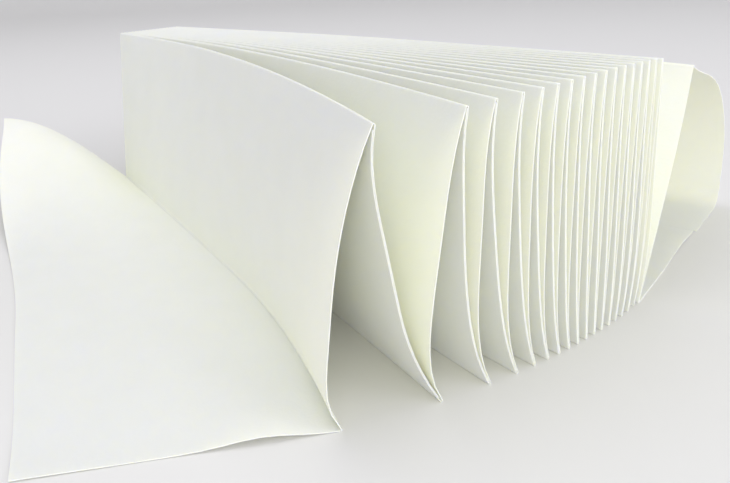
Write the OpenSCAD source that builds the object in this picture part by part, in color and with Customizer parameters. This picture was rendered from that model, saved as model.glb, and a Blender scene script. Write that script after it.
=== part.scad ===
// A stack of interfolded paper hand towels standing on its fold edges, fanned open at one end.
// +X runs across the stack from the opened first towel to the arching last one, +Y runs back along
// the folds, and +Z is up. The origin is the bottom centre of the whole part.

/* [Sheet] */
// Height of one folded panel, a third of the sheet's width
panel_height = 73; // [60:1:90]
// Length of the sheet along its folds
sheet_length = 232; // [200:1:260]
// Thickness of the embossed sheet
sheet_thickness = 0.35; // [0.25:0.05:0.45]

/* [Block] */
// Distance between neighbouring layers where the towels are packed
layer_pitch = 0.72; // [0.65:0.01:0.9]
// How far the crests lean past the feet at the packed end
back_lean = 3.5; // [1:0.5:7]
// How far back the first towel's end stands past the last one's
back_step = 0.5; // [0:0.5:6]

/* [Fan] */
// Place of the first foot at the packed end, measured from its place at the fanned end
fan_reach = 77.5; // [60:0.5:85]
// Smallest distance between neighbouring feet at the fanned end
foot_gap = 3.9; // [3.4:0.1:4.4]
// Extra distance between the first two feet at the fanned end
foot_opening = 21.6; // [14:0.1:24]
// Share of that extra distance that each next pair keeps
opening_ratio = 0.49; // [0.4:0.01:0.6]
// Lean of the first crest at the fanned end
first_lean = -9.5; // [-12:0.5:-6]
// How much the lean grows from the first towel to the last
lean_gain = 10; // [6:0.5:14]
// Extra lean of the second crest
second_lean = 3.5; // [0:0.5:6]
// How far the fanned ends step back at the first towel
front_step = 23.5; // [12:0.5:27]

/* [Curl] */
// Slope of the first foot at the fanned end, across over up
first_foot_slope = -0.7; // [-0.8:0.05:-0.3]
// Slope of the last foot at the fanned end
last_foot_slope = 0.4; // [0.1:0.05:0.5]
// Share of the foot's slope that the crest turns the other way
crest_turn = 0.3; // [0:0.05:0.5]
// Place of the soft bend along the feet, as a share of the length
foot_bend = 0.71; // [0.6:0.01:0.8]
// Place of the soft bend along the crests
crest_bend = 0.31; // [0.25:0.01:0.45]

/* [First towel] */
// Height to which the opened panel's back corner lifts off the surface
open_lift = 34; // [0:1:38]
// Share of the length over which the opened panel lies flat
open_flat = 0.55; // [0.4:0.05:0.8]
// Turn of the opened panel's front edge about the vertical, in degrees
open_front_turn = 31; // [24:1:36]
// Turn of its back edge
open_back_turn = 36; // [24:1:40]

/* [Last towels] */
// How far the last crest spreads past the stack at the fanned end
last_spread = 30; // [20:1:34]
// Turn of the laid-out panel and of the arch about the vertical, in degrees
outer_turn = 5; // [0:0.2:6]
// Height of the crease in the arch
crease_height = 37.5; // [34:0.5:44]
// Radius of the arch below its crease
shoulder_radius = 35; // [28:1:40]
// Radius of the arch where it turns in under itself
toe_radius = 7; // [5:0.5:10]

/* [Hidden] */
NODES = [
    "towel_01_opened", "towel_02", "towel_03", "towel_04", "towel_05", "towel_06",
    "towel_07", "towel_08", "towel_09", "towel_10", "towel_11", "towel_12",
    "towel_13", "towel_14", "towel_15", "towel_16", "towel_17_laid_out", "towel_18_arching"
];
towel_count = len(NODES);
paper = [0.96, 0.96, 0.93];
rest_gap = 0.3;
fold_height = layer_pitch + sheet_thickness / 2;
foot_lead = 0.88;
crest_lead = 0.53;
bend_softness = 0.12;
crest_share = 2 / 3;
curl_power = 2;
lengthwise_cuts = 7;
panel_cuts = 5;
fold_cuts = 2;
arc_cuts = 4;
crest_fall = -0.33;
crease_fall = -1.1;
shoulder_start = atan(crease_fall);
shoulder_end = -92;
toe_level = sheet_thickness * 1.5 + rest_gap;
back_slope = back_lean / panel_height;
arch_share = PI * PI / 16;
stations = [for (i = [0 : lengthwise_cuts]) i / lengthwise_cuts];

// Small helpers
function mix(a, b, t) = a + (b - a) * t;
function smooth(t) = let (c = min(max(t, 0), 1)) c * c * (3 - 2 * c);
function unit(v) = v / norm(v);
function ramp(x) = x <= -bend_softness ? 0
    : x >= bend_softness ? x
    : pow(x + bend_softness, 2) / (4 * bend_softness);

// Share of the fan that is reached at w, from the packed end at 0 to the fanned end at 1
function reach(w, bend, lead) = lead * w + ((1 - lead * bend) / (1 - bend) - lead) * ramp(w - bend);

// Places of the feet and crests across the stack, with the fanned end's first foot at 0
function foot_front(k) = foot_gap * (k - 1)
    + foot_opening * (1 - pow(opening_ratio, k - 1)) / (1 - opening_ratio);
function foot_back(k) = fan_reach + 3 * layer_pitch * (k - 1);
function foot_x(k, w) = mix(foot_back(k), foot_front(k), reach(w, foot_bend, foot_lead));
function row_share(k) = (k - 1) / (towel_count - 1);
function front_lean(k) = first_lean + lean_gain * row_share(k)
    + (k == 2 ? second_lean : k == towel_count ? last_spread : 0);
function crest_front(k) = mix(foot_front(k), foot_front(k + 1), crest_share) + front_lean(k);
function crest_back(k) = mix(foot_back(k), foot_back(k + 1), crest_share) + back_lean;
function crest_x(k, w) = mix(crest_back(k), crest_front(k), reach(w, crest_bend, crest_lead));

// Place along the stack: the fanned ends step back on both sides of the last foot
function row_y(x, w) = -sheet_length * w
    + (front_step - back_step) * w * pow((foot_front(towel_count) - x) / foot_front(towel_count), 2)
    + back_step * (foot_front(towel_count) - x) / foot_front(towel_count);
function foot_slope(k, w) =
    mix(back_slope, mix(first_foot_slope, last_foot_slope, row_share(k)), pow(w, curl_power));
function crest_slope(k, w) = mix(back_slope, -crest_turn * mix(first_foot_slope, last_foot_slope,
    row_share(k)), pow(w, curl_power));

// Height that a panel of full length reaches when its ends lie dx apart and leave at these slopes
function rise(dx, low_slope, high_slope) = panel_height
    - (36 * dx * dx - 6 * dx * (low_slope + high_slope) * panel_height
    + (4 * low_slope * low_slope + 4 * high_slope * high_slope - 2 * low_slope * high_slope)
    * panel_height * panel_height) / (60 * panel_height);
function chord_slope(k, w) = (crest_x(k, w) - layer_pitch - foot_x(k, w)) / panel_height;
function crest_z(k, w) =
    k == towel_count
    ? sheet_thickness + rest_gap + rise(crest_x(k, w) - layer_pitch - foot_x(k, w),
        chord_slope(k, w), chord_slope(k, w))
    : k == towel_count - 1
    ? fold_height + rise(crest_x(k, w) - foot_x(k + 1, w) + 2 * layer_pitch,
        foot_slope(k + 1, w), crest_slope(k, w))
    : fold_height + rise(crest_x(k, w) - foot_x(k, w) - 2 * layer_pitch,
        foot_slope(k, w), crest_slope(k, w));

// Points of one panel between its low end and its high end, each end given as [x, z, slope]
function panel(low, high) = [
    for (i = [0 : panel_cuts])
        let (
            q = i / panel_cuts,
            h = high[1] - low[1],
            a = 1 - 3 * q * q + 2 * q * q * q,
            b = q - 2 * q * q + q * q * q,
            c = q * q * q - q * q
        )
        [a * low[0] + (1 - a) * high[0] + (b * low[2] + c * high[2]) * h, mix(low[1], high[1], q)]
];
function reversed(list) = [for (i = [len(list) - 1 : -1 : 0]) list[i]];
function fold(x, z, from, to) = [
    for (i = [1 : fold_cuts - 1])
        let (a = mix(from, to, i / fold_cuts))
        [x + layer_pitch * cos(a), z + layer_pitch * sin(a)]
];

// The three panels of an interfolded towel at one station. The third panel of one towel and the first
// of the next follow the same curve, a layer apart, right up to the fold that each lies in.
function first_panel(k, w) = panel(
    [foot_x(k, w) - layer_pitch, fold_height, foot_slope(k, w)],
    [crest_x(k - 1, w), crest_z(k - 1, w), crest_slope(k - 1, w)]
);
function second_panel(k, w) = panel(
    [foot_x(k, w) + layer_pitch, fold_height, foot_slope(k, w)],
    [crest_x(k, w) - layer_pitch, crest_z(k, w), crest_slope(k, w)]
);
function third_panel(k, w) = panel(
    [foot_x(k + 1, w), fold_height, foot_slope(k + 1, w)],
    [crest_x(k, w) + layer_pitch, crest_z(k, w), crest_slope(k, w)]
);
function crest_fold(k, w) = fold(crest_x(k, w), crest_z(k, w), 180, 0);
function standing(section, w) = [for (p = section) [p[0], row_y(p[0], w), p[1]]];

// Mid-surface of a towel in the middle of the stack
function inner_towel(k, w) = standing(concat(
    reversed(first_panel(k, w)),
    fold(foot_x(k, w), fold_height, 180, 360),
    second_panel(k, w),
    crest_fold(k, w),
    reversed(third_panel(k, w))
), w);

// Mid-surface of the first towel, whose first panel lies opened on the surface
function open_panel(w) = let (
        base = foot_x(1, w),
        turn = mix(open_back_turn, open_front_turn, w),
        lift = open_lift * pow(1 - smooth(w / open_flat), 2),
        run = panel_height - arch_share * lift * lift / panel_height
    ) [
        for (i = [0 : panel_cuts])
            let (s = 1 - i / panel_cuts)
            [
                base - run * s * cos(turn),
                row_y(base, w) + run * s * sin(turn),
                sheet_thickness / 2 + lift * sin(90 * s)
            ]
    ];
function first_towel(w) = concat(
    open_panel(w),
    standing(concat(
        fold(foot_x(1, w), fold_height, 270, 360),
        second_panel(1, w),
        crest_fold(1, w),
        reversed(third_panel(1, w))
    ), w)
);

// Mid-surface of the towel beside the last, whose last panel is laid out on the surface
function laid_panel(k, w) = [
    for (i = [0 : panel_cuts])
        let (s = panel_height * i / panel_cuts, base = foot_x(k + 1, w))
        [base + s * cos(outer_turn), row_y(base, w) + s * sin(outer_turn), sheet_thickness / 2]
];
function laid_towel(k, w) = concat(
    standing(concat(
        panel(
            [foot_x(k, w) + layer_pitch, fold_height, foot_slope(k, w)],
            [crest_x(k, w) - layer_pitch, crest_z(k, w), crest_slope(k, w)]
        ),
        crest_fold(k, w),
        reversed(panel(
            [foot_x(k + 1, w) - layer_pitch, fold_height, foot_slope(k + 1, w)],
            [crest_x(k, w) + layer_pitch, crest_z(k, w), crest_slope(k, w)]
        )),
        fold(foot_x(k + 1, w), fold_height, 180, 270)
    ), w),
    laid_panel(k, w)
);

// The arch of the last towel, as [across, up] from its crest: a slant to the crease, a shoulder, a toe
function arc(start, radius, from, to) = [
    for (i = [1 : arc_cuts])
        let (a = mix(from, to, i / arc_cuts))
        [start[0] + radius * (sin(from) - sin(a)), start[1] + radius * (cos(a) - cos(from))]
];
function arch(top) = let (
        run = rise(crease_height - top, crest_fall, crease_fall),
        crease = [layer_pitch + run, crease_height],
        slant = [
            for (p = panel([top, layer_pitch, crest_fall], [crease_height, crease[0], crease_fall]))
                [p[1], p[0]]
        ],
        shoulder = arc(crease, shoulder_radius, shoulder_start, shoulder_end),
        shoulder_foot = shoulder[arc_cuts - 1],
        toe_top = toe_level + toe_radius * (cos(shoulder_end) - cos(-180)),
        shin = shoulder_foot[1] - toe_top,
        toe = arc([shoulder_foot[0], toe_top], toe_radius, shoulder_end, -180),
        used = (shoulder_radius * (shoulder_start - shoulder_end) + toe_radius * (shoulder_end + 180))
            * PI / 180 + shin,
        toe_end = toe[arc_cuts - 1],
        tail = [toe_end[0] - (panel_height - used), toe_end[1]]
    ) concat(slant, shoulder, [[shoulder_foot[0], toe_top]], toe, [tail]);
function last_towel(k, w) = concat(
    standing(concat(
        panel(
            [foot_x(k, w), sheet_thickness + rest_gap, chord_slope(k, w)],
            [crest_x(k, w) - layer_pitch, crest_z(k, w), chord_slope(k, w)]
        ),
        crest_fold(k, w)
    ), w),
    [
        for (p = arch(crest_z(k, w)))
            [
                crest_x(k, w) + p[0] * cos(outer_turn),
                row_y(crest_x(k, w), w) + p[0] * sin(outer_turn),
                p[1]
            ]
    ]
);

function towel_rows(k) = [
    for (w = stations)
        k == 1 ? first_towel(w)
        : k == towel_count ? last_towel(k, w)
        : k == towel_count - 1 ? laid_towel(k, w)
        : inner_towel(k, w)
];

// The bottom centre of the whole part, from the corners of all its sheets
all_points = [for (k = [1 : towel_count]) for (row = towel_rows(k)) for (p = row) p];
centre = [
    for (i = [0 : 1])
        let (values = [for (p = all_points) p[i]])
        (min(values) + max(values)) / 2
];

// Turns the rows of a mid-surface into a sheet of even thickness
function normal(rows, i, j) = let (
        last_row = len(rows) - 1,
        last_point = len(rows[0]) - 1,
        along = rows[min(i + 1, last_row)][j] - rows[max(i - 1, 0)][j],
        across = rows[i][min(j + 1, last_point)] - rows[i][max(j - 1, 0)]
    ) unit(cross(along, across));
function side(rows, offset) = [
    for (i = [0 : len(rows) - 1])
        for (j = [0 : len(rows[0]) - 1])
            rows[i][j] + normal(rows, i, j) * offset
];
// A rising panel has its facets cut the other way than a falling one, so that neighbours lie parallel
function strip(a, b, c, d, rising = false) =
    rising ? [[a, b, d], [b, c, d]] : [[a, b, c], [a, c, d]];
module sheet(rows) {
    wide = len(rows[0]);
    deep = len(rows);
    under = wide * deep;
    top_faces = [
        for (i = [0 : deep - 2])
            for (j = [0 : wide - 2])
                let (corner = i * wide + j, rising = rows[0][j + 1][2] > rows[0][j][2])
                each strip(corner, corner + 1, corner + wide + 1, corner + wide, rising)
    ];
    under_faces = [for (f = top_faces) [f[2] + under, f[1] + under, f[0] + under]];
    rim = concat(
        [for (j = [0 : wide - 2]) j],
        [for (i = [0 : deep - 2]) i * wide + wide - 1],
        [for (j = [wide - 1 : -1 : 1]) (deep - 1) * wide + j],
        [for (i = [deep - 1 : -1 : 1]) i * wide]
    );
    rim_faces = [
        for (i = [0 : len(rim) - 1])
            let (a = rim[i], b = rim[(i + 1) % len(rim)])
            each strip(b, a, a + under, b + under)
    ];
    polyhedron(
        concat(side(rows, sheet_thickness / 2), side(rows, -sheet_thickness / 2)),
        concat(top_faces, under_faces, rim_faces),
        convexity = 8
    );
}

module towel(k) {
    color(paper) translate([-centre[0], -centre[1], 0]) sheet(towel_rows(k));
}

for (k = [1 : towel_count]) {
    towel(k);
}
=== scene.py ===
import math

import bpy
from mathutils import Matrix, Vector, noise


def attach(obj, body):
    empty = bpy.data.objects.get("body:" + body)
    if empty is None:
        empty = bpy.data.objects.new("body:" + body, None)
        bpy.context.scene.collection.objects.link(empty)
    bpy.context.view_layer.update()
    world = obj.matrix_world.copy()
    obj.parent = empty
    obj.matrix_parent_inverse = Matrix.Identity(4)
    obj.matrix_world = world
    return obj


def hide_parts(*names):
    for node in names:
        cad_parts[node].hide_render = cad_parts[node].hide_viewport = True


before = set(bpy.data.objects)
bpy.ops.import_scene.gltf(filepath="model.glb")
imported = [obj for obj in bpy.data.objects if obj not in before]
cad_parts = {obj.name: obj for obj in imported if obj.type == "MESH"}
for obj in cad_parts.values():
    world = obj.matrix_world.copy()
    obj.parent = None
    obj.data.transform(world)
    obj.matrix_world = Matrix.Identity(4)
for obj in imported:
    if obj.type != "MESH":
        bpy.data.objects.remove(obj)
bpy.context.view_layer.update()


# Towels 2 to 16: interfolded sheets of soft white paper, folded in three and stood on their folds.
# Each has its first panel inside the towel before it and its third inside the towel after it. They
# lie close together at the back and fan out to the front, and nothing but their folds holds them.
MM = 0.001
panel_height = 73.0
sheet_length = 232.0
sheet_thickness = 0.22
packed_pitch = 0.72
fanned_pitch = 0.3
press_start = 0.35
press_run = 0.6
towel_count = 18

back_lean = 3.5
back_step = 0.5
fan_reach = 77.5
foot_gap = 3.9
foot_opening = 21.6
opening_ratio = 0.49
first_lean = -9.5
lean_gain = 10.0
second_lean = 3.5
last_spread = 30.0
front_step = 23.5

first_foot_slope = -0.7
last_foot_slope = 0.4
crest_turn = 0.25
rising_crest = 0.28
hanging_foot = -0.13
rising_grip = 5
hanging_grip = 3
foot_bend = 0.71
crest_bend = 0.31
foot_lead = 0.88
crest_lead = 0.53
bend_softness = 0.12
crest_share = 2 / 3
rest_gap = 0.1

packed_ripple = 0.05
fanned_ripple = 1.4
ripple_growth = 1.6
ripple_seed = 7.31
ripple_lengthwise = 4.0
ripple_upwards = 2.2

lengthwise_steps = 58
panel_steps = 16
fold_steps = 6


def mix(a, b, t):
    return a + (b - a) * t


def smooth(t):
    t = min(max(t, 0.0), 1.0)
    return t * t * (3 - 2 * t)


def layer_pitch(w):
    """Distance between layers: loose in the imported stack, pressed together at the fanned end."""
    return mix(packed_pitch, fanned_pitch, smooth((w - press_start) / press_run))


def fold_height(w):
    return layer_pitch(w) + sheet_thickness / 2


def reach(w, bend, lead):
    """Share of the fan that is reached at w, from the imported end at 0 to the fanned end at 1."""
    past = w - bend
    if past <= -bend_softness:
        ramp = 0.0
    elif past >= bend_softness:
        ramp = past
    else:
        ramp = (past + bend_softness) ** 2 / (4 * bend_softness)
    return lead * w + ((1 - lead * bend) / (1 - bend) - lead) * ramp


def foot_front(k):
    opened = foot_opening * (1 - opening_ratio ** (k - 1)) / (1 - opening_ratio)
    return foot_gap * (k - 1) + opened


def foot_back(k):
    return fan_reach + 3 * packed_pitch * (k - 1)


def foot_x(k, w):
    return mix(foot_back(k), foot_front(k), reach(w, foot_bend, foot_lead))


def row_share(k):
    return (k - 1) / (towel_count - 1)


def crest_x(k, w):
    extra = second_lean if k == 2 else last_spread if k == towel_count else 0.0
    lean = first_lean + lean_gain * row_share(k) + extra
    front = mix(foot_front(k), foot_front(k + 1), crest_share) + lean
    back = mix(foot_back(k), foot_back(k + 1), crest_share) + back_lean
    return mix(back, front, reach(w, crest_bend, crest_lead))


def row_y(x, w):
    """Place along the stack: the fanned ends step back on both sides of the last foot."""
    last = foot_front(towel_count)
    share = (last - x) / last
    return -sheet_length * w + (front_step - back_step) * w * share ** 2 + back_step * share


def foot_slope(k, w):
    front = mix(first_foot_slope, last_foot_slope, row_share(k))
    return mix(back_lean / panel_height, front, w ** 2)


def opening(k):
    """How wide the fan stands open after towel k, as a share of its first opening."""
    return (foot_front(k + 1) - foot_front(k)) / (foot_front(2) - foot_front(1))


def crest_slope(k, w, extra=0.0):
    front = -crest_turn * mix(first_foot_slope, last_foot_slope, row_share(k)) + extra * opening(k)
    return mix(back_lean / panel_height, front, w ** 2)


def rise(dx, low, high):
    """Height that a whole panel reaches when its ends lie dx apart and leave at these slopes."""
    height = panel_height
    bent = 36 * dx ** 2 - 6 * dx * (low + high) * height
    bent += (4 * low ** 2 + 4 * high ** 2 - 2 * low * high) * height ** 2
    return height - bent / (60 * height)


def crest_z(k, w):
    run = crest_x(k, w) - foot_x(k, w) - 2 * packed_pitch
    low_slope, high_slope = foot_slope(k, w), crest_slope(k, w)
    if k == towel_count:
        slope = (run + packed_pitch) / panel_height
        return sheet_thickness + rest_gap + rise(run + packed_pitch, slope, slope)
    if k == towel_count - 1:
        run = crest_x(k, w) - foot_x(k + 1, w) + 2 * packed_pitch
        low_slope = foot_slope(k + 1, w)
    return packed_pitch + sheet_thickness / 2 + rise(run, low_slope, high_slope)


def ripple(wing, w, q):
    """How far a panel strays sideways from its even curve; a pair of panels strays together."""
    loose = mix(packed_ripple, fanned_ripple * opening(wing), w ** ripple_growth)
    place = Vector((wing * ripple_seed, w * ripple_lengthwise, q * ripple_upwards))
    return loose * math.sin(math.pi * q) * noise.noise(place)


def panel(low, high, wing, w, start=0.0, stop=1.0, foot_grip=hanging_grip):
    """Points (across, up) of one panel between two ends, each given as (across, up, slope)."""
    height = high[1] - low[1]
    points = []
    for i in range(panel_steps + 1):
        q = mix(start, stop, i / panel_steps)
        grip = mix(2, foot_grip, w)
        a = 1 - 3 * q ** 2 + 2 * q ** 3
        b = q * (1 - q) ** grip
        c = q ** 3 - q ** 2
        across = a * low[0] + (1 - a) * high[0] + (b * low[2] + c * high[2]) * height
        points.append((across + ripple(wing, w, q), mix(low[1], high[1], q)))
    return points


def fold(x, z, w, start, stop):
    """Points of a fold of one layer's radius, without its two ends."""
    points = []
    pitch = layer_pitch(w)
    for i in range(1, fold_steps):
        angle = math.radians(mix(start, stop, i / fold_steps))
        points.append((x + pitch * math.cos(angle), z + pitch * math.sin(angle)))
    return points


def foot_end(k, w, side, extra=0.0):
    across = foot_x(k, w) + side * layer_pitch(w)
    return (across, fold_height(w), foot_slope(k, w) + extra * opening(k) * w ** 2)


def crest_end(k, w, side, extra=0.0):
    return (crest_x(k, w) + side * layer_pitch(w), crest_z(k, w), crest_slope(k, w, extra))


def paper_share(k, w):
    """Share of the way from foot k + 1 to crest k that a panel's own height of paper covers."""
    run = crest_x(k, w) - foot_x(k + 1, w) + packed_pitch
    high_slope = crest_slope(k, w)
    spare = panel_height - rise(run, foot_slope(k + 1, w), high_slope)
    return min(1.0, panel_height / (crest_z(k, w) - fold_height(w) + spare))


def first_panel(k, w):
    low, high = foot_end(k, w, -1, hanging_foot), crest_end(k - 1, w, 0)
    return panel(low, high, k - 0.5, w, 0.0, paper_share(k - 1, w))


def second_panel(k, w):
    low, high = foot_end(k, w, 1), crest_end(k, w, -1, rising_crest)
    return panel(low, high, k, w, foot_grip=mix(hanging_grip, rising_grip, opening(k)))


def third_panel(k, w):
    low, high = foot_end(k + 1, w, 0, hanging_foot), crest_end(k, w, 1)
    return panel(low, high, k + 0.5, w, 1.0 - paper_share(k, w), 1.0)


def crest_fold(k, w):
    return fold(crest_x(k, w), crest_z(k, w), w, 180, 0)


def standing(section, w):
    return [Vector((x, row_y(x, w), z)) for x, z in section]


def inner_towel(k, w):
    section = first_panel(k, w)[::-1] + fold(foot_x(k, w), fold_height(w), w, 180, 360)
    section += second_panel(k, w) + crest_fold(k, w) + third_panel(k, w)[::-1]
    return standing(section, w)


def sheet_mesh(name, rows):
    """A closed sheet of even thickness about a mid-surface, with a map of the paper in millimetres."""
    deep, wide = len(rows), len(rows[0])
    across = [0.0]
    for j in range(1, wide):
        across.append(across[-1] + (rows[deep // 2][j] - rows[deep // 2][j - 1]).length)
    tops, unders = [], []
    for i in range(deep):
        for j in range(wide):
            along = rows[min(i + 1, deep - 1)][j] - rows[max(i - 1, 0)][j]
            cross = rows[i][min(j + 1, wide - 1)] - rows[i][max(j - 1, 0)]
            normal = along.cross(cross).normalized() * sheet_thickness / 2
            tops.append((rows[i][j] + normal - frame_centre) * MM)
            unders.append((rows[i][j] - normal - frame_centre) * MM)
    under = deep * wide
    faces = []
    for i in range(deep - 1):
        for j in range(wide - 1):
            corner = i * wide + j
            quad = (corner, corner + 1, corner + wide + 1, corner + wide)
            faces.append(quad)
            faces.append(tuple(v + under for v in reversed(quad)))
    rim = list(range(wide - 1)) + [i * wide + wide - 1 for i in range(deep - 1)]
    rim += [(deep - 1) * wide + j for j in range(wide - 1, 0, -1)]
    rim += [i * wide for i in range(deep - 1, 0, -1)]
    for a, b in zip(rim, rim[1:] + rim[:1]):
        faces.append((b, a, a + under, b + under))
    mesh = bpy.data.meshes.new(name)
    mesh.from_pydata(tops + unders, [], faces)
    mesh.shade_smooth()
    rim_points = set(rim)
    for edge in mesh.edges:
        a, b = (v % under for v in edge.vertices)
        edge.use_edge_sharp = a in rim_points and b in rim_points
    paper_map = mesh.uv_layers.new(name="paper")
    for loop in mesh.loops:
        i, j = divmod(loop.vertex_index % under, wide)
        paper_map.data[loop.index].uv = (across[j], sheet_length * i / (deep - 1))
    return mesh


def paper_material():
    """Soft white paper: faintly mottled, with loose fibres, and light comes through it."""
    made = bpy.data.materials.new("soft_white_paper")
    made.use_nodes = True
    nodes, links = made.node_tree.nodes, made.node_tree.links
    face = nodes["Principled BSDF"]
    face.inputs["Roughness"].default_value = 0.9
    face.inputs["Specular IOR Level"].default_value = 0.1
    face.inputs["Subsurface Weight"].default_value = 1.0
    face.inputs["Subsurface Radius"].default_value = (1.0, 0.95, 0.7)
    face.inputs["Subsurface Scale"].default_value = 0.0005
    place = nodes.new("ShaderNodeTexCoord")
    cloud = nodes.new("ShaderNodeTexNoise")
    cloud.inputs["Scale"].default_value = 60.0
    cloud.inputs["Detail"].default_value = 5.0
    tint = nodes.new("ShaderNodeValToRGB")
    tint.color_ramp.elements[0].position = 0.3
    tint.color_ramp.elements[0].color = (0.94, 0.955, 0.79, 1)
    tint.color_ramp.elements[1].position = 0.7
    tint.color_ramp.elements[1].color = (0.96, 0.975, 0.81, 1)
    fibre = nodes.new("ShaderNodeTexNoise")
    fibre.inputs["Scale"].default_value = 1100.0
    fibre.inputs["Detail"].default_value = 3.0
    mottle = nodes.new("ShaderNodeTexNoise")
    mottle.inputs["Scale"].default_value = 180.0
    mottle.inputs["Detail"].default_value = 2.0
    height = nodes.new("ShaderNodeMath")
    height.operation = "ADD"
    bump = nodes.new("ShaderNodeBump")
    bump.inputs["Strength"].default_value = 0.15
    bump.inputs["Distance"].default_value = 0.0003
    for texture in (cloud, fibre, mottle):
        links.new(place.outputs["Object"], texture.inputs["Vector"])
    links.new(cloud.outputs["Fac"], tint.inputs["Fac"])
    links.new(tint.outputs["Color"], face.inputs["Base Color"])
    links.new(fibre.outputs["Fac"], height.inputs[0])
    links.new(mottle.outputs["Fac"], height.inputs[1])
    links.new(height.outputs["Value"], bump.inputs["Height"])
    links.new(bump.outputs["Normal"], face.inputs["Normal"])
    return made


paper = paper_material()
stations = [i / lengthwise_steps for i in range(lengthwise_steps + 1)]
frame_centre = Vector((76.703, -97.347, 0.0))


def make_towel(name, node, rows):
    mesh = sheet_mesh(name, rows)
    mesh.materials.append(paper)
    towel = bpy.data.objects.new(name, mesh)
    bpy.context.scene.collection.objects.link(towel)
    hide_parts(node)
    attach(towel, "root")
    return towel


for k in range(2, towel_count - 1):
    rows = [inner_towel(k, w) for w in stations]
    make_towel(f"paper_towel_{k:02d}", f"towel_{k:02d}", rows)


# Towel 1: the first sheet, of the same paper. Its first panel is opened flat on the surface, with
# its back end lifting where the fold turns, and its other two stand and hold it to the stack.
open_lift = 32.0
open_flat = 0.55
open_front_turn = 31.0
open_back_turn = 50.0
open_turn_growth = 2.2
edge_bulge = 3.0
edge_bulge_place = 0.75
edge_bulge_width = 0.17
front_lift = 1.5
front_lift_start = 0.8
front_lift_run = 0.2
front_lift_place = 0.25
front_lift_width = 0.14
wave_height = 0.5
wave_start = 0.3
wave_run = 0.3
wave_level = 0.6
wave_outwards = 2
wave_lengthwise = 4
wave_seed = 3.7
lift_share = math.pi ** 2 / 16


def open_panel(w):
    base = foot_x(1, w)
    turn = math.radians(mix(open_front_turn, open_back_turn, (1 - w) ** open_turn_growth))
    lift = open_lift * (1 - smooth(w / open_flat)) ** 2
    run = panel_height - lift_share * lift ** 2 / panel_height
    run += edge_bulge * math.exp(-((w - edge_bulge_place) / edge_bulge_width) ** 2)
    front = front_lift * smooth((w - front_lift_start) / front_lift_run)
    wave = wave_height * smooth((w - wave_start) / wave_run)
    points = []
    for i in range(panel_steps + 1):
        s = 1 - i / panel_steps
        x = base - run * s * math.cos(turn)
        y = row_y(base, w) + run * s * math.sin(turn)
        up = lift * math.sin(math.pi / 2 * s)
        up += front * math.exp(-((s - front_lift_place) / front_lift_width) ** 2)
        place = Vector((s * wave_outwards, w * wave_lengthwise, wave_seed))
        up += wave * s * (wave_level + noise.noise(place))
        points.append(Vector((x, y, sheet_thickness / 2 + up)))
    return points


def first_towel(w):
    section = fold(foot_x(1, w), fold_height(w), w, 270, 360) + second_panel(1, w)
    section += crest_fold(1, w) + third_panel(1, w)[::-1]
    return open_panel(w) + standing(section, w)


opened_rows = [first_towel(w) for w in stations]
make_towel("paper_towel_01", "towel_01_opened", opened_rows)


# Towel 17: the last but one. Two of its panels stand, and the third is turned out at the foot and
# lies flat on the surface under the last towel's arch.
outer_turn = 5.0
laid_lift = 1.2
laid_lift_start = 0.75
laid_lift_run = 0.25
laid_lift_place = 0.72
laid_lift_width = 0.2


def outwards(x, y, z, distance):
    turn = math.radians(outer_turn)
    return Vector((x + distance * math.cos(turn), y + distance * math.sin(turn), z))


def laid_towel(w):
    k = towel_count - 1
    base = foot_x(towel_count, w)
    section = second_panel(k, w) + crest_fold(k, w)
    section += panel(foot_end(k + 1, w, -1), crest_end(k, w, 1), k + 0.5, w)[::-1]
    section += fold(base, fold_height(w), w, 180, 270)
    points = standing(section, w)
    lift = laid_lift * smooth((w - laid_lift_start) / laid_lift_run)
    for i in range(panel_steps + 1):
        distance = panel_height * i / panel_steps
        up = lift * math.exp(-((i / panel_steps - laid_lift_place) / laid_lift_width) ** 2)
        points.append(outwards(base, row_y(base, w), sheet_thickness / 2 + up, distance))
    return points


laid_rows = [laid_towel(w) for w in stations]
make_towel("paper_towel_17", "towel_17_laid_out", laid_rows)


# Towel 18: the last sheet. Its first panel leans out from the stack, and the other two arch over,
# with a soft crease, and come down to the surface, where the end is tucked in under the arch.
crease_height = 37.5
shoulder_radius = 35.0
toe_radius = 7.0
crest_fall = -0.33
crease_fall = -1.1
shoulder_end = -92.0
toe_level = sheet_thickness * 1.5 + rest_gap
arch_pitch = 0.72
arc_steps = 12


def arc(start, radius, begin, end):
    points = []
    for i in range(1, arc_steps + 1):
        angle = math.radians(mix(begin, end, i / arc_steps))
        out = start[0] + radius * (math.sin(math.radians(begin)) - math.sin(angle))
        up = start[1] + radius * (math.cos(angle) - math.cos(math.radians(begin)))
        points.append((out, up))
    return points


def arch(top):
    """Points (out, up) of the arch from the last crest to the end of the sheet."""
    shoulder_start = math.degrees(math.atan(crease_fall))
    run = rise(crease_height - top, crest_fall, crease_fall)
    crease = (arch_pitch + run, crease_height)
    points = []
    for i in range(panel_steps + 1):
        q = i / panel_steps
        along = run * (q - 2 * q ** 2 + q ** 3) * crest_fall + run * (q ** 3 - q ** 2) * crease_fall
        drop = 3 * q ** 2 - 2 * q ** 3
        points.append((mix(arch_pitch, crease[0], q), mix(top, crease_height, drop) + along))
    points += arc(crease, shoulder_radius, shoulder_start, shoulder_end)
    shin_foot = toe_level + toe_radius * (math.cos(math.radians(shoulder_end)) + 1)
    shin = points[-1][1] - shin_foot
    points.append((points[-1][0], shin_foot))
    points += arc(points[-1], toe_radius, shoulder_end, -180)
    bent = shoulder_radius * (shoulder_start - shoulder_end) + toe_radius * (shoulder_end + 180)
    tail = panel_height - math.radians(bent) - shin
    start, level = points[-1]
    points += [(start - tail * i / arc_steps, level) for i in range(1, arc_steps + 1)]
    return points


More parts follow.
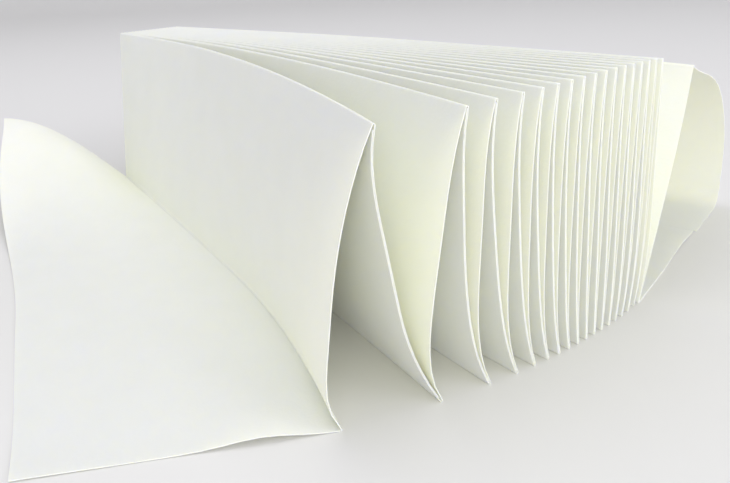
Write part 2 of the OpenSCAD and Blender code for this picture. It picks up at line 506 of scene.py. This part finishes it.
def arching_towel(w):
    k = towel_count
    x, z = crest_x(k, w), crest_z(k, w)
    slope = (x - arch_pitch - foot_x(k, w)) / panel_height
    low = (foot_x(k, w), sheet_thickness + rest_gap, slope)
    section = panel(low, (x - arch_pitch, z, slope), k, w, foot_grip=2)
    for i in range(1, fold_steps):
        angle = math.pi * (1 - i / fold_steps)
        section.append((x + arch_pitch * math.cos(angle), z + arch_pitch * math.sin(angle)))
    points = standing(section, w)
    points += [outwards(x, row_y(x, w), up, out) for out, up in arch(z)]
    return points


arching_rows = [arching_towel(w) for w in stations]
make_towel("paper_towel_18", "towel_18_arching", arching_rows)


# The surface that the towels stand on: a plain pale sweep of matt painted board. It is one sheet,
# level under the stack and curved up far behind it, and it lies square to the camera.
sweep_half_width = 3.0
sweep_front = -2.0
sweep_back = 1.6
sweep_radius = 1.2
sweep_top = 4.0
sweep_turn = -39.2
sweep_steps = 24
sweep_profile = [(sweep_front, 0.0), (sweep_back, 0.0)]
for i in range(1, sweep_steps + 1):
    angle = math.radians(90 * i / sweep_steps)
    sweep_profile.append(
        (sweep_back + sweep_radius * math.sin(angle), sweep_radius * (1 - math.cos(angle)))
    )
sweep_profile.append((sweep_back + sweep_radius, sweep_top))
sweep_points = [(s * sweep_half_width, y, z) for y, z in sweep_profile for s in (-1, 1)]
sweep_faces = [(2 * i, 2 * i + 1, 2 * i + 3, 2 * i + 2) for i in range(len(sweep_profile) - 1)]
sweep_mesh = bpy.data.meshes.new("floor")
sweep_mesh.from_pydata(sweep_points, [], sweep_faces)
sweep_mesh.shade_smooth()
floor_paint = bpy.data.materials.new("plain_pale_floor")
floor_paint.use_nodes = True
floor_shader = floor_paint.node_tree.nodes["Principled BSDF"]
floor_shader.inputs["Base Color"].default_value = (0.81, 0.8, 0.785, 1)
floor_shader.inputs["Roughness"].default_value = 0.6
floor_shader.inputs["Specular IOR Level"].default_value = 0.2
sweep_mesh.materials.append(floor_paint)
floor = bpy.data.objects.new("floor", sweep_mesh)
bpy.context.scene.collection.objects.link(floor)
floor.rotation_euler = (0, 0, math.radians(sweep_turn))


# Soft studio light: a plain pale room, a little brighter towards the front, with one large softbox
# above the stack and two low in front of it. All of it has the same faintly cool colour.
light_colour = (0.955, 0.96, 1.0)
light_target = Vector((0, 0, 0.03))
front_brightness = 0.83
back_brightness = 0.52
world = bpy.data.worlds.new("studio")
world.use_nodes = True
room_nodes, room_links = world.node_tree.nodes, world.node_tree.links
room = room_nodes["Background"]
room.inputs["Color"].default_value = (*light_colour, 1)
room_place = room_nodes.new("ShaderNodeTexCoord")
room_axes = room_nodes.new("ShaderNodeSeparateXYZ")
room_level = room_nodes.new("ShaderNodeMapRange")
room_level.inputs["From Min"].default_value = -1.0
room_level.inputs["To Min"].default_value = front_brightness
room_level.inputs["To Max"].default_value = back_brightness
room_links.new(room_place.outputs["Generated"], room_axes.inputs["Vector"])
room_links.new(room_axes.outputs["Y"], room_level.inputs["Value"])
room_links.new(room_level.outputs["Result"], room.inputs["Strength"])
bpy.context.scene.world = world


def softbox(name, place, wide, high, power):
    data = bpy.data.lights.new(name, "AREA")
    data.shape = "RECTANGLE"
    data.size = wide
    data.size_y = high
    data.energy = power
    data.color = light_colour
    lamp = bpy.data.objects.new(name, data)
    bpy.context.scene.collection.objects.link(lamp)
    lamp.location = place
    lamp.visible_camera = False
    lamp.rotation_euler = (light_target - lamp.location).to_track_quat("-Z", "Y").to_euler()


softbox("overhead_softbox", (0.1, 0.2, 1.2), 1.2, 1.0, 4.4)
softbox("front_softbox", (-0.75, -0.95, 0.34), 1.0, 0.6, 5.6)
softbox("right_softbox", (0.45, -1.35, 0.55), 1.0, 0.8, 4.4)


# The camera: low in front of the fanned end and a little to the left of it, rolled by a few degrees,
# with its frame shifted as the framing of the photograph needs.
camera_place = Vector((-0.18136, -0.19883, 0.10317))
camera_heading = 39.244
camera_down = 13.947
camera_roll = 3.099
camera_data = bpy.data.cameras.new("camera")
camera_data.lens = 33.73
camera_data.sensor_width = 36.0
camera_data.shift_x = 0.21
camera_data.shift_y = -0.14
camera_data.clip_start = 0.01
camera = bpy.data.objects.new("camera", camera_data)
bpy.context.scene.collection.objects.link(camera)
camera.matrix_world = (
    Matrix.Translation(camera_place)
    @ Matrix.Rotation(math.radians(-camera_heading), 4, "Z")
    @ Matrix.Rotation(math.radians(90 - camera_down), 4, "X")
    @ Matrix.Rotation(math.radians(-camera_roll), 4, "Z")
)
bpy.context.scene.camera = camera
bpy.context.scene.view_settings.view_transform = "Standard"
